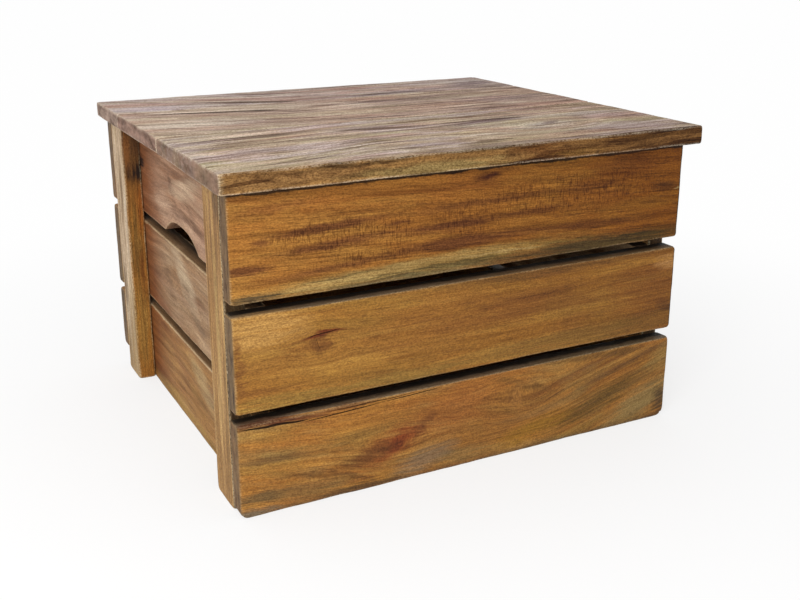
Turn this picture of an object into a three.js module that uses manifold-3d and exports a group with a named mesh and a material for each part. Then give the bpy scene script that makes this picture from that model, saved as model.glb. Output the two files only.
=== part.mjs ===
// A wooden kindling box: three gapped slats at the front and back, three boards
// at each end between upright corner cleats, a boarded floor, and a lid of three
// edge-glued boards that swings back on two stop hinges.
// Millimetres, +Z up, front towards -Y. The origin is the bottom centre of the
// whole box with its lid closed.

import * as THREE from 'three';
import { RoundedBoxGeometry } from 'three/addons/geometries/RoundedBoxGeometry.js';
import { mergeVertices } from 'three/addons/utils/BufferGeometryUtils.js';
import Module from 'manifold-3d';

const wasm = await Module();
wasm.setup();

// ---- Driving dimensions ----------------------------------------------------

// Crate
const crateWidth = 500;            // along X, the length of the slats
const crateDepth = 440;            // along Y, over the slats' outer faces
const crateHeight = 311;           // along Z, without the lid
const slatThickness = 20;
const endBoardThickness = 20;
const cleatWidth = 48;             // along Y
const cleatThickness = 20;         // along X
const edgeEasing = 1.5;            // rounding of every sawn edge
const fitGap = 0.3;                // between two pieces that meet

// Heights of the boards and of the open gaps between them. In each stack the
// board that isn't named here fills what is left of the crate's height. The end
// boards have the front slats' heights.
const frontBottomHeight = 94;
const frontMiddleHeight = 93;
const frontGap = 11;
const backTopHeight = 96;
const backMiddleHeight = 97;
const backGap = 9;
const backFoot = 26;               // the lowest back slat is clear of the ground

// Hand-hold: an arch in the lower edge of each top end board
const gripLength = 122;
const gripRise = 17.5;
const gripSegments = 16;

// Floor
const floorBoardCount = 4;
const floorBoardThickness = 12;
const floorBoardGap = 5;
const bearerWidth = 25;
const bearerHeight = 22;
const bearerLift = 8;              // clear of the ground

// Lid
const lidThickness = 19;
const lidOverhangSide = 10.5;
const lidOverhangFront = 16;
const lidOverhangBack = 2;
const lidMiddleBoardWidth = 161;
const lidBackBoardWidth = 104;
const battenWidth = 40;
const battenThickness = 15;
const battenInset = 105;           // batten's middle from the crate's end
const battenClearance = 10;        // to the slats in front of it and behind it

// Hinges
const hingeInset = 100;            // hinge's middle from the crate's end
const hingeLength = 60;
const knuckleRadius = 3.4;
const pinRadius = 1.6;
const pinHeadHeight = 1.2;
const leafThickness = 1.6;
const leafSeat = 18;               // how far a leaf lies in on the slat
const heelReach = 7.5;             // tip of a leaf's stop heel, from the pin's middle
const heelAngle = 63;              // stop heels, above and below level
const hingeScrewSpacing = 36;

// Fasteners
const screwShankRadius = 1.7;
const screwHeadRadius = 3.2;
const screwHeadDepth = 1.5;
const screwTipLength = 4;
const screwSlotWidth = 0.8;
const screwSlotDepth = 0.7;
const slatScrewLength = 22;
const lidScrewLength = 14;
const battenScrewLength = 28;
const dowelRadius = 4;
const dowelLength = 34;
const dowelInSlat = 12;            // the rest of the dowel is in the cleat
const dowelChamfer = 1;
const roundSegments = 12;
const knuckleSegments = 24;

// ---- Sizes that follow -----------------------------------------------------

const frontTopHeight = crateHeight - frontBottomHeight - frontMiddleHeight - 2 * frontGap;
const frontHeights = [frontBottomHeight, frontMiddleHeight, frontTopHeight];
const backBottomHeight = crateHeight - backFoot - backTopHeight - backMiddleHeight - 2 * backGap;
const backHeights = [backBottomHeight, backMiddleHeight, backTopHeight];
const innerDepth = crateDepth - 2 * slatThickness;
const innerWidth = crateWidth - 2 * (cleatThickness + fitGap + endBoardThickness);
const slatY = (crateDepth - slatThickness) / 2;
const cleatX = (crateWidth - cleatThickness) / 2;
const cleatY = (innerDepth - cleatWidth) / 2 - fitGap;
const endBoardX = (innerWidth + endBoardThickness) / 2;
const endBoardLength = innerDepth - 2 * fitGap;
const dowelY = innerDepth / 2 + dowelInSlat - dowelLength / 2;

const hingeAxisY = crateDepth / 2 + lidOverhangBack + fitGap + knuckleRadius;
const hingeAxisZ = crateHeight + fitGap / 2;
const leafGap = fitGap / 2;        // from the pin's level to each leaf
const leafLength = hingeAxisY - crateDepth / 2 + leafSeat;
const leafScrewY = leafSeat / 2 - leafLength;
const boreRadius = pinRadius + fitGap;
const knuckleLength = hingeLength / 3;

const lidWidth = crateWidth + 2 * lidOverhangSide;
const lidDepth = crateDepth + lidOverhangFront + lidOverhangBack;
const lidFrontBoardWidth = lidDepth - lidMiddleBoardWidth - lidBackBoardWidth - 2 * fitGap;
const lidBackEdge = crateDepth / 2 + lidOverhangBack - hingeAxisY;
const lidUnderside = crateHeight + fitGap - hingeAxisZ;
const battenLength = innerDepth - 2 * battenClearance;
const battenZ = lidUnderside - fitGap - battenThickness / 2;
const battenX = crateWidth / 2 - battenInset;
const hingeX = crateWidth / 2 - hingeInset;

const heelTilt = THREE.MathUtils.degToRad(heelAngle);
const heelBack = heelReach * Math.cos(heelTilt) + leafThickness / 2 * Math.sin(heelTilt);
const backReach = hingeAxisY + Math.max(knuckleRadius, heelBack);
const frontReach = crateDepth / 2 + lidOverhangFront;

// ---- Materials -------------------------------------------------------------

function material(color, roughness, metalness) {
  return new THREE.MeshStandardMaterial({ color, roughness, metalness });
}

const slatWood = material('#a8713a', 0.75, 0);
const endWood = material('#a07a55', 0.75, 0);
const cleatWood = material('#b3905c', 0.75, 0);
const floorWood = material('#a8845a', 0.8, 0);
const lidWood = material('#9a8169', 0.8, 0);
const dowelWood = material('#cfae7d', 0.8, 0);
const hingeBrass = material('#9c8148', 0.4, 1);
const screwSteel = material('#8d8a80', 0.4, 1);

// ---- Building blocks -------------------------------------------------------

// The middle heights of a stack of boards, from the lowest up.
function stackMiddles(heights, gap, foot) {
  const middles = [];
  let bottom = foot;
  for (const height of heights) {
    middles.push(bottom + height / 2);
    bottom += height + gap;
  }
  return middles;
}

function toSolid(geometry) {
  const bare = geometry.clone();
  bare.deleteAttribute('normal');
  bare.deleteAttribute('uv');
  const merged = mergeVertices(bare);
  return new wasm.Manifold(new wasm.Mesh({
    numProp: 3,
    vertProperties: new Float32Array(merged.attributes.position.array),
    triVerts: new Uint32Array(merged.index.array),
  }));
}

function toGeometry(solid) {
  const mesh = solid.getMesh();
  const geometry = new THREE.BufferGeometry();
  geometry.setAttribute('position', new THREE.BufferAttribute(mesh.vertProperties, 3));
  geometry.setIndex(new THREE.BufferAttribute(mesh.triVerts, 1));
  geometry.computeVertexNormals();
  return geometry;
}

function joined(geometries) {
  return geometries.map(toSolid).reduce((whole, solid) => whole.add(solid));
}

function carved(solid, cutters) {
  return cutters.map(toSolid).reduce((rest, cutter) => rest.subtract(cutter), solid);
}

function addPiece(group, name, finish, geometry, place) {
  const piece = new THREE.Mesh(geometry, finish);
  piece.name = name;
  piece.position.set(...place);
  group.add(piece);
}

// A board with eased edges. Its middle and the shapes cut out of it are given
// in its group.
function addBoard(group, name, finish, size, middle, cutters = []) {
  const blank = new RoundedBoxGeometry(...size, 1, edgeEasing);
  if (cutters.length === 0) {
    addPiece(group, name, finish, blank, middle);
    return;
  }
  const inGroup = toSolid(blank.translate(...middle));
  const board = toGeometry(carved(inGroup, cutters));
  board.translate(...middle.map((value) => -value));
  addPiece(group, name, finish, board, middle);
}

// A round rod centred on a point and lying along X or Y.
function rod(axis, radius, length, segments, middle) {
  const geometry = new THREE.CylinderGeometry(radius, radius, length, segments);
  if (axis === 'x') geometry.rotateZ(Math.PI / 2);
  return geometry.translate(...middle);
}

// ---- Dowels and screws -----------------------------------------------------

function dowelForm() {
  const half = dowelLength / 2;
  return new THREE.LatheGeometry([
    new THREE.Vector2(0, -half),
    new THREE.Vector2(dowelRadius - dowelChamfer, -half),
    new THREE.Vector2(dowelRadius, dowelChamfer - half),
    new THREE.Vector2(dowelRadius, half - dowelChamfer),
    new THREE.Vector2(dowelRadius - dowelChamfer, half),
    new THREE.Vector2(0, half),
  ], roundSegments);
}

function dowelHole(sideX, sideY, z) {
  const middle = [sideX * cleatX, sideY * dowelY, z];
  return rod('y', dowelRadius + fitGap, dowelLength + 2 * fitGap, roundSegments, middle);
}

// A countersunk screw that points down from its head at z = 0, or the hole that
// clears it by a margin and is open above its head. Turned over, it points up.
function screwForm(length, margin, turnedOver) {
  const outline = [
    new THREE.Vector2(0, -length - margin),
    new THREE.Vector2(screwShankRadius + margin, screwTipLength - length),
    new THREE.Vector2(screwShankRadius + margin, -screwHeadDepth),
    new THREE.Vector2(screwHeadRadius + margin, 0),
  ];
  if (margin > 0) {
    outline.push(new THREE.Vector2(screwHeadRadius + margin, margin));
  }
  outline.push(new THREE.Vector2(0, margin));
  const form = new THREE.LatheGeometry(outline, roundSegments);
  return form.rotateX(turnedOver ? -Math.PI / 2 : Math.PI / 2);
}

function screwHole(length, turnedOver, place) {
  return screwForm(length, fitGap, turnedOver).translate(...place);
}

function addScrew(group, name, length, turnedOver, place) {
  const slot = new THREE.BoxGeometry(3 * screwHeadRadius, screwSlotWidth, 2 * screwSlotDepth);
  const form = carved(toSolid(screwForm(length, 0, turnedOver)), [slot]);
  addPiece(group, name, screwSteel, toGeometry(form), place);
}

// ---- Crate -----------------------------------------------------------------

const levels = ['bottom', 'middle', 'top'];
const sides = { left: -1, right: 1 };
const faces = { front: -1, back: 1 };
const frontMiddles = stackMiddles(frontHeights, frontGap, 0);
const backMiddles = stackMiddles(backHeights, backGap, backFoot);

const hingePlaces = Object.entries(sides).map(([side, sideX]) => ({
  name: `hinge_${side}`,
  x: sideX * hingeX,
}));

const leafScrews = Object.entries(sides).map(([side, sideX]) => ({
  name: side,
  x: sideX * hingeScrewSpacing / 2,
}));

// Pocket and screw holes for a hinge leaf, about the pin's middle. The lid's
// leaf lies above the pin's level, the crate's leaf below it.
function leafSeatCutters(onLid) {
  const up = onLid ? 1 : -1;
  const pocketDepth = leafGap + leafThickness + fitGap;
  const pocket = new THREE.BoxGeometry(
    hingeLength + 2 * fitGap, leafLength + fitGap, pocketDepth);
  pocket.translate(0, -(leafLength + fitGap) / 2, up * pocketDepth / 2);
  const length = onLid ? lidScrewLength : slatScrewLength;
  const holes = leafScrews.map(({ x }) => screwHole(length, onLid, [x, leafScrewY, up * leafGap]));
  return [pocket, ...holes];
}

function hingeSeatCutters(onLid, axisY, axisZ) {
  return hingePlaces.flatMap(({ x }) => (
    leafSeatCutters(onLid).map((cutter) => cutter.translate(x, axisY, axisZ))
  ));
}

function addSlats(group, face, heights, middles) {
  const sideY = faces[face];
  levels.forEach((level, index) => {
    const z = middles[index];
    const cutters = Object.values(sides).map((sideX) => dowelHole(sideX, sideY, z));
    if (face === 'back' && level === 'top') {
      cutters.push(...hingeSeatCutters(false, hingeAxisY, hingeAxisZ));
    }
    const size = [crateWidth, slatThickness, heights[index]];
    addBoard(group, `${face}_slat_${level}`, slatWood, size, [0, sideY * slatY, z], cutters);
    for (const [side, sideX] of Object.entries(sides)) {
      const place = [sideX * cleatX, sideY * dowelY, z];
      addPiece(group, `${face}_slat_dowel_${level}_${side}`, dowelWood, dowelForm(), place);
    }
  });
}

function addCleats(group, face, middles) {
  const sideY = faces[face];
  for (const [side, sideX] of Object.entries(sides)) {
    const size = [cleatThickness, cleatWidth, crateHeight];
    const middle = [sideX * cleatX, sideY * cleatY, crateHeight / 2];
    const cutters = middles.map((z) => dowelHole(sideX, sideY, z));
    addBoard(group, `corner_cleat_${face}_${side}`, cleatWood, size, middle, cutters);
  }
}

// The part of a round disc above a chord at z = 0, and a little below it, so
// that it opens the board's lower edge.
function gripArch() {
  const half = gripLength / 2;
  const radius = (half * half + gripRise * gripRise) / (2 * gripRise);
  const startAngle = Math.asin((radius - gripRise) / radius);
  const arch = new THREE.Shape();
  arch.moveTo(-half, -edgeEasing);
  arch.lineTo(half, -edgeEasing);
  arch.absarc(0, gripRise - radius, radius, startAngle, Math.PI - startAngle, false);
  const depth = 2 * endBoardThickness;
  const cutter = new THREE.ExtrudeGeometry(arch, {
    depth, bevelEnabled: false, curveSegments: gripSegments });
  return cutter.translate(0, 0, -depth / 2).rotateX(Math.PI / 2).rotateZ(Math.PI / 2);
}

function addEndBoards(group, side) {
  const x = sides[side] * endBoardX;
  levels.forEach((level, index) => {
    const z = frontMiddles[index];
    const height = frontHeights[index];
    const cutters = level === 'top' ? [gripArch().translate(x, 0, z - height / 2)] : [];
    const size = [endBoardThickness, endBoardLength, height];
    addBoard(group, `${side}_end_board_${level}`, endWood, size, [x, 0, z], cutters);
  });
}

function addFloor(group) {
  for (const [side, sideX] of Object.entries(sides)) {
    const x = sideX * (innerWidth / 2 - fitGap - bearerWidth / 2);
    const size = [bearerWidth, innerDepth - 2 * fitGap, bearerHeight];
    const middle = [x, 0, bearerLift + bearerHeight / 2];
    addBoard(group, `floor_bearer_${side}`, floorWood, size, middle);
  }
  const span = innerDepth - 2 * fitGap;
  const boardWidth = (span - floorBoardGap * (floorBoardCount - 1)) / floorBoardCount;
  const z = bearerLift + bearerHeight + fitGap + floorBoardThickness / 2;
  for (let index = 0; index < floorBoardCount; index += 1) {
    const y = (boardWidth - span) / 2 + index * (boardWidth + floorBoardGap);
    const size = [innerWidth - 2 * fitGap, boardWidth, floorBoardThickness];
    addBoard(group, `floor_board_${index + 1}`, floorWood, size, [0, y, z]);
  }
}

// ---- Hinges ----------------------------------------------------------------

const knuckleSpans = {
  crate: [-knuckleLength, knuckleLength],
  lid: [0],
};

function knuckles(owner, radius, margin) {
  return knuckleSpans[owner].map((x) => (
    rod('x', radius, knuckleLength + 2 * margin, knuckleSegments, [x, 0, 0])
  ));
}

// One leaf about the pin's middle: its plate, its knuckles, and the stop heel
// behind the pin. The heels meet when the lid has swung just past upright.
function leafForm(owner) {
  const onLid = owner === 'lid';
  const up = onLid ? 1 : -1;
  const plate = new THREE.BoxGeometry(hingeLength, leafLength, leafThickness);
  plate.translate(0, -leafLength / 2, up * (leafGap + leafThickness / 2));
  const heel = new THREE.BoxGeometry(hingeLength, heelReach, leafThickness);
  heel.translate(0, heelReach / 2, 0).rotateX(up * heelTilt);
  const whole = joined([plate, heel, ...knuckles(owner, knuckleRadius, -fitGap / 2)]);
  const bore = rod('x', boreRadius, 2 * hingeLength, knuckleSegments, [0, 0, 0]);
  const otherKnuckles = knuckles(onLid ? 'crate' : 'lid', knuckleRadius + fitGap, fitGap / 2);
  const length = onLid ? lidScrewLength : slatScrewLength;
  const holes = leafScrews.map(({ x }) => screwHole(length, onLid, [x, leafScrewY, up * leafGap]));
  return toGeometry(carved(whole, [bore, ...otherKnuckles, ...holes]));
}

function pinForm() {
  const half = hingeLength / 2;
  const pin = new THREE.LatheGeometry([
    new THREE.Vector2(0, -half),
    new THREE.Vector2(pinRadius, -half),
    new THREE.Vector2(pinRadius, half + fitGap),
    new THREE.Vector2(knuckleRadius, half + fitGap),
    new THREE.Vector2(pinRadius, half + fitGap + pinHeadHeight),
    new THREE.Vector2(0, half + fitGap + pinHeadHeight),
  ], knuckleSegments);
  return pin.rotateZ(Math.PI / 2);
}

function addHingeSide(group, owner, axisY, axisZ) {
  const onLid = owner === 'lid';
  const length = onLid ? lidScrewLength : slatScrewLength;
  const screwZ = axisZ + (onLid ? leafGap : -leafGap);
  for (const { name, x } of hingePlaces) {
    addPiece(group, `${name}_${owner}_leaf`, hingeBrass, leafForm(owner), [x, axisY, axisZ]);
    for (const screw of leafScrews) {
      const place = [x + screw.x, axisY + leafScrewY, screwZ];
      addScrew(group, `${name}_${owner}_screw_${screw.name}`, length, onLid, place);
    }
  }
}

function addPins(group) {
  for (const { name, x } of hingePlaces) {
    addPiece(group, `${name}_pin`, hingeBrass, pinForm(), [x, hingeAxisY, hingeAxisZ]);
  }
}

// ---- Lid, in a group whose origin is on the hinges' axis -------------------

const lidMiddleY = -hingeAxisY;    // the crate's middle, from the hinges' axis

function lidBoards() {
  const backY = lidBackEdge - lidBackBoardWidth / 2;
  const middleY = lidBackEdge - lidBackBoardWidth - fitGap - lidMiddleBoardWidth / 2;
  const frontY = lidBackEdge - lidDepth + lidFrontBoardWidth / 2;
  return [
    { name: 'front', width: lidFrontBoardWidth, y: frontY },
    { name: 'middle', width: lidMiddleBoardWidth, y: middleY },
    { name: 'back', width: lidBackBoardWidth, y: backY },
  ];
}

// One screw fastens each batten to each lid board, in the middle of the stretch
// that the batten and the board share.
function battenScrewY(board) {
  const low = Math.max(board.y - board.width / 2, lidMiddleY - battenLength / 2);
  const high = Math.min(board.y + board.width / 2, lidMiddleY + battenLength / 2);
  return (low + high) / 2;
}

function battenScrewPlace(sideX, board) {
  return [sideX * battenX, battenScrewY(board), battenZ - battenThickness / 2];
}

function addLidBoards(group) {
  for (const board of lidBoards()) {
    const cutters = Object.values(sides).map((sideX) => (
      screwHole(battenScrewLength, true, battenScrewPlace(sideX, board))
    ));
    if (board.name === 'back') {
      cutters.push(...hingeSeatCutters(true, 0, 0));
    }
    const size = [lidWidth, board.width, lidThickness];
    const middle = [0, board.y, lidUnderside + lidThickness / 2];
    addBoard(group, `lid_board_${board.name}`, lidWood, size, middle, cutters);
  }
}

function addBattens(group) {
  for (const [side, sideX] of Object.entries(sides)) {
    const places = lidBoards().map((board) => battenScrewPlace(sideX, board));
    const cutters = places.map((place) => screwHole(battenScrewLength, true, place));
    const size = [battenWidth, battenLength, battenThickness];
    const middle = [sideX * battenX, lidMiddleY, battenZ];
    addBoard(group, `lid_batten_${side}`, lidWood, size, middle, cutters);
    lidBoards().forEach((board, index) => {
      const name = `lid_batten_${side}_screw_${board.name}`;
      addScrew(group, name, battenScrewLength, true, places[index]);
    });
  }
}

// ---- Assembly --------------------------------------------------------------

const crate = new THREE.Group();
addSlats(crate, 'front', frontHeights, frontMiddles);
addSlats(crate, 'back', backHeights, backMiddles);
addCleats(crate, 'front', frontMiddles);
addCleats(crate, 'back', backMiddles);
addEndBoards(crate, 'left');
addEndBoards(crate, 'right');
addFloor(crate);
addHingeSide(crate, 'crate', hingeAxisY, hingeAxisZ);
addPins(crate);

const lid = new THREE.Group();
lid.position.set(0, hingeAxisY, hingeAxisZ);
addLidBoards(lid);
addBattens(lid);
addHingeSide(lid, 'lid', 0, 0);

const box = new THREE.Group();
box.add(crate, lid);
box.position.y = (frontReach - backReach) / 2;

export default box;
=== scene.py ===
"""A rustic kindling box: slatted front and back, boarded ends and a hinged lid.

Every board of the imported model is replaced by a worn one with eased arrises, chips and
splits. The hinges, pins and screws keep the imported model's forms, with softened edges.
"""
import math
import random

import bmesh
import bpy
from mathutils import Euler, Matrix, Vector, noise


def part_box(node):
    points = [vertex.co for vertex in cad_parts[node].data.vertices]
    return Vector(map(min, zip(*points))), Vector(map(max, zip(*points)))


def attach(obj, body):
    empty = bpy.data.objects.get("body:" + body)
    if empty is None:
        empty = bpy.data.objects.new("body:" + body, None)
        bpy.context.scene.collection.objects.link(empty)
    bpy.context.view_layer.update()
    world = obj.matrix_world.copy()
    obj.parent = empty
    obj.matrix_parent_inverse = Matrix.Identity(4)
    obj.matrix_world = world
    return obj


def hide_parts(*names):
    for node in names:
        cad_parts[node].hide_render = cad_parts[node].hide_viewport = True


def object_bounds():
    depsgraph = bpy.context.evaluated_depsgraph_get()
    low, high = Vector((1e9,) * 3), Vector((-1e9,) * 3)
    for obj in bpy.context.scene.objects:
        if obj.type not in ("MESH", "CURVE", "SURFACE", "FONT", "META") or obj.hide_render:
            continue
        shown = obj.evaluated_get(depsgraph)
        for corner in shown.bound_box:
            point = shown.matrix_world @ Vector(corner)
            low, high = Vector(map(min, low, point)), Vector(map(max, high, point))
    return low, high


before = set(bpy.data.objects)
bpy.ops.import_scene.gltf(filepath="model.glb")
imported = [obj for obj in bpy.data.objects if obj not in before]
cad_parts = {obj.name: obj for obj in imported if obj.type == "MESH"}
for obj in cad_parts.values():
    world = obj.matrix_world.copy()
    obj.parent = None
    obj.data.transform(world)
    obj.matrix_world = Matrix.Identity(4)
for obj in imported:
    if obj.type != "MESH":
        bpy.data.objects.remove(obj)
cad_low, cad_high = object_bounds()

MM = 0.001
X, Y, Z = 0, 1, 2

# ---- Meshes ---------------------------------------------------------------------------

ARRIS_EASING = 1.0 * MM
ARRIS_SEGMENTS = 3
CUT_SPACING = 8 * MM
CUTS_BY_ENDS = [2 * MM, 3.5 * MM, 5.5 * MM, 8 * MM, 12 * MM]
WEAR_REACH = 3.6 * MM
SHARP_ANGLE = math.radians(38)
SAME_PLACE = 1e-8
DECIMALS = 7                    # kept of a cut's place in metres


def cut_places(length, closer):
    """Where a board is cut along one axis, from its low end: closely by both ends, evenly
    between, and at the places that a shape needs closer. None is there twice."""
    by_start = [cut for cut in CUTS_BY_ENDS if cut < length / 2.5]
    by_end = [length - cut for cut in by_start]
    inner = max(CUTS_BY_ENDS)
    between = []
    if length > 3 * inner:
        count = max(1, round((length - 2 * inner) / CUT_SPACING))
        between = [inner + (length - 2 * inner) * i / count for i in range(1, count)]
    return sorted({round(cut, DECIMALS) for cut in by_start + by_end + between + closer})


def sawn_block(low, high, close_cuts, easing):
    """A board's block with eased arrises, cut into cells small enough to wear. Close
    cuts are more places along an axis, where a shape needs them."""
    bm = bmesh.new()
    bmesh.ops.create_cube(bm, size=1)
    bmesh.ops.scale(bm, vec=high - low, verts=bm.verts)
    bmesh.ops.translate(bm, vec=(low + high) / 2, verts=bm.verts)
    bmesh.ops.bevel(bm, geom=bm.edges[:], offset=easing, offset_type="OFFSET",
                    segments=ARRIS_SEGMENTS, profile=0.5, affect="EDGES", material=-1)
    for axis in (X, Y, Z):
        closer = [place - low[axis] for place in close_cuts.get(axis, ())]
        normal = Vector([float(i == axis) for i in (X, Y, Z)])
        for cut in cut_places(high[axis] - low[axis], closer):
            bmesh.ops.bisect_plane(bm, geom=bm.verts[:] + bm.edges[:] + bm.faces[:],
                                   dist=SAME_PLACE, plane_co=low + normal * cut,
                                   plane_no=normal)
    return bm


BROAD_RUB, FINE_RUB, FACE_WANDER = 28, 140, 9      # patches of wear to the metre
RUB, BROAD_SHARE, FINE_SHARE = 0.45, 0.9, 0.5      # how hard, and how unevenly
CORNER_RUB = 2.2                                   # more than an arris
PALE, PALE_BY_RUB = 0.55, 0.6                      # how pale a worn arris gets
WANDER = 0.2 * MM
ON_FACE = 0.2 * MM


def worn(bm, low, high, seed, wear):
    """Rubs the arrises down unevenly and lets the sawn faces wander a little."""
    shade = bm.verts.layers.float.new("wear")
    shift = Vector((seed * 7.13, seed * 3.71, seed * 5.37))     # to its own noise
    for v in bm.verts:
        inside = [min(v.co[i] - low[i], high[i] - v.co[i]) for i in (X, Y, Z)]
        inward = Vector([1 if v.co[i] - low[i] < high[i] - v.co[i] else -1
                         for i in (X, Y, Z)])
        near = [max(0.0, 1 - d / WEAR_REACH) for d in inside]
        coarse = noise.noise(v.co * BROAD_RUB + shift)
        fine = noise.noise(v.co * FINE_RUB + shift * 2)
        rub = max(0.0, RUB + BROAD_SHARE * coarse + FINE_SHARE * fine)
        arris = sorted(near)[1] * sorted(near)[2]
        corner = near[X] * near[Y] * near[Z]
        v[shade] = min(1.0, arris * (PALE + PALE_BY_RUB * rub))
        push = Vector([inward[i] * near[i] for i in (X, Y, Z)]) * arris
        v.co += push * wear * (rub + CORNER_RUB * corner)
        for axis in (X, Y, Z):
            if inside[axis] < ON_FACE:
                wave = 0.5 + noise.noise(v.co * FACE_WANDER + shift * (axis + 3))
                v.co[axis] += inward[axis] * WANDER * max(0.0, wave)
    return bm


def rounded_corner(bm, plane, corner, inward, radius):
    """Rounds one corner of a board as seen square on, in the plane of two axes."""
    a, b = plane
    for v in bm.verts:
        u = radius - (v.co[a] - corner[0]) * inward[0]
        w = radius - (v.co[b] - corner[1]) * inward[1]
        if u > 0 and w > 0:
            squeeze = max(u, w) / math.hypot(u, w)
            v.co[a] = corner[0] + inward[0] * (radius - u * squeeze)
            v.co[b] = corner[1] + inward[1] * (radius - w * squeeze)


TORN, TORN_PATCHES = 0.22, 60       # how ragged a split is, and patches to the metre
LEAST_SPLIT = 0.3 * MM


def split_away(bm, along, edge, inward, span, deepest):
    """Breaks a long splinter off an arris. inward is the way in on the two axes across."""
    start, end = span
    p, q = [axis for axis in (X, Y, Z) if axis != along]
    for v in bm.verts:
        t = (v.co[along] - start) / (end - start)
        if not 0 < t < 1:
            continue
        swell = min(1.0, 6 * t) * (1 - t) ** 0.7     # deepest a sixth of the way along
        ragged = 1 + TORN * noise.noise(v.co * TORN_PATCHES)
        drop, back = deepest[0] * swell * ragged, deepest[1] * swell * ragged
        if min(drop, back) < LEAST_SPLIT:
            continue
        u = (v.co[p] - edge[0]) * inward[0] / drop
        w = (v.co[q] - edge[1]) * inward[1] / back
        short = 1 - u - w
        if short > 0:
            v.co[p] += inward[0] * drop * short / 2
            v.co[q] += inward[1] * back * short / 2


def mesh_piece(name, bm, materials, body, nodes):
    """The finished piece, riding on its body in place of the CAD nodes."""
    bmesh.ops.recalc_face_normals(bm, faces=bm.faces[:])
    mesh = bpy.data.meshes.new(name)
    bm.to_mesh(mesh)
    bm.free()
    for material in materials:
        mesh.materials.append(material)
    mesh.shade_smooth()
    mesh.set_sharp_from_angle(angle=SHARP_ANGLE)
    piece = bpy.data.objects.new(name, mesh)
    bpy.context.scene.collection.objects.link(piece)
    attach(piece, body)
    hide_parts(*nodes)
    return piece


def carve(bm, cutter, materials):
    """The bmesh with the cutter's bmesh taken away; cut faces take the second material."""
    things = []
    for part in (bm, cutter):
        mesh = bpy.data.meshes.new("carving")
        part.to_mesh(mesh)
        part.free()
        things.append(bpy.data.objects.new("carving", mesh))
        bpy.context.scene.collection.objects.link(things[-1])
    block, tool = things
    for material in materials:
        block.data.materials.append(material)
    tool.data.materials.append(materials[-1])
    step = block.modifiers.new("carve", "BOOLEAN")
    step.operation, step.solver, step.object = "DIFFERENCE", "EXACT", tool
    step.material_mode, step.use_self = "TRANSFER", True
    depsgraph = bpy.context.evaluated_depsgraph_get()
    result = bmesh.new()
    result.from_mesh(block.evaluated_get(depsgraph).to_mesh())
    for thing in things:
        mesh = thing.data
        bpy.data.objects.remove(thing)
        bpy.data.meshes.remove(mesh)
    return result


CRACK_STEP, CRACK_SWAY, CRACK_LIP = 9 * MM, 0.9 * MM, 0.6 * MM


def add_wedge(bm, start, end, width, depth, face_normal, seed):
    """Adds the cutter of one drying crack: a thin wedge that thins out at both ends."""
    run = end - start
    side = face_normal.cross(run).normalized()
    steps = max(6, int(run.length / CRACK_STEP))
    rings = []
    for i in range(steps + 1):
        t = i / steps
        swell = max(0.06, math.sin(math.pi * t) ** 0.6)     # fullest in the middle
        sway = CRACK_SWAY * noise.noise(Vector((t * 5, seed * 3.3, 0)))
        middle = start + run * t + side * sway
        half = width * swell / 2
        rings.append([bm.verts.new(middle + side * across + face_normal * height)
                      for across, height in ((half, CRACK_LIP), (-half, CRACK_LIP),
                                             (-half / 4, -depth * swell),
                                             (half / 4, -depth * swell))])
    bm.faces.new(rings[0][::-1])
    bm.faces.new(rings[-1])
    for one, two in zip(rings, rings[1:]):
        for k in range(4):
            bm.faces.new((one[k], one[k - 3], two[k - 3], two[k]))


# ---- Materials ------------------------------------------------------------------------

# Sockets of a Mix node, and its settings to lay a colour over another or to shade it.
FACTOR, UNDER, UPON = 0, 6, 7
OVER = {"data_type": "RGBA", "blend_type": "MIX", "out": 2}
SHADE = {"data_type": "RGBA", "blend_type": "MULTIPLY", "out": 2}
WHITE, BLACK = (1, 1, 1, 1), (0, 0, 0, 1)
GRAIN_TURN = {X: (0, 0, 0), Y: (0, 0, -math.pi / 2), Z: (0, math.pi / 2, 0)}
FRAY = {X: (26, 8, 8), Y: (8, 26, 8), Z: (8, 8, 26)}    # mm, most of it along the grain
HALF = (0.5, 0.5, 0.5)                  # the middle of what a noise node gives
BOARDS_APART = (613.0, 97.0, 151.0)     # mm, so that no two boards share a pattern
BEND_OVER = 40.0                        # mm over which the grain turns
# Sizes of patterns, in mm along and across the grain.
SWAY_SIZE = (190, 42)
RAGGED_SIZE = (26, 7)                   # of the edges of stains
TICK_SIZE = (1.5, 9)
FUZZ_SIZE = (2.2, 1.2)
TARNISH_SIZE = (9, 9)
TORN_SIZE = (6, 1)                      # of the torn wood down in a crack


def linear(code):
    """An sRGB hex colour as linear RGBA."""
    parts = [int(code[i:i + 2], 16) / 255 for i in (1, 3, 5)]
    return tuple([c / 12.92 if c <= 0.04045 else ((c + 0.055) / 1.055) ** 2.4
                  for c in parts] + [1.0])


def grey(level):
    """A grey to shade with, or above 1 to lighten with."""
    return (level, level, level, 1)


def warm(level):
    """A brown to shade with: the darker, the redder."""
    return (level, level ** 1.22, level ** 1.4, 1)


def add(tree, kind, inputs=None, stops=None, out=0, **settings):
    """Adds a node and gives one of its outputs. Inputs are values, or the sockets that
    feed them; stops are a ramp's places and colours."""
    made = tree.nodes.new("ShaderNode" + kind)
    for name, value in settings.items():
        setattr(made, name, value)
    for name, value in (inputs or {}).items():
        if isinstance(value, bpy.types.NodeSocket):
            tree.links.new(value, made.inputs[name])
        else:
            made.inputs[name].default_value = value
    if stops:
        ramp = made.color_ramp.elements
        while len(ramp) < len(stops):
            ramp.new(0.5)
        for element, (place, colour) in zip(ramp, stops):
            element.position, element.color = place, colour
    return made.outputs[out] if made.outputs else made


def new_tree(name):
    """A new material and its empty node tree."""
    material = bpy.data.materials.new(name)
    material.use_nodes = True
    material.node_tree.nodes.clear()
    return material, material.node_tree


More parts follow.
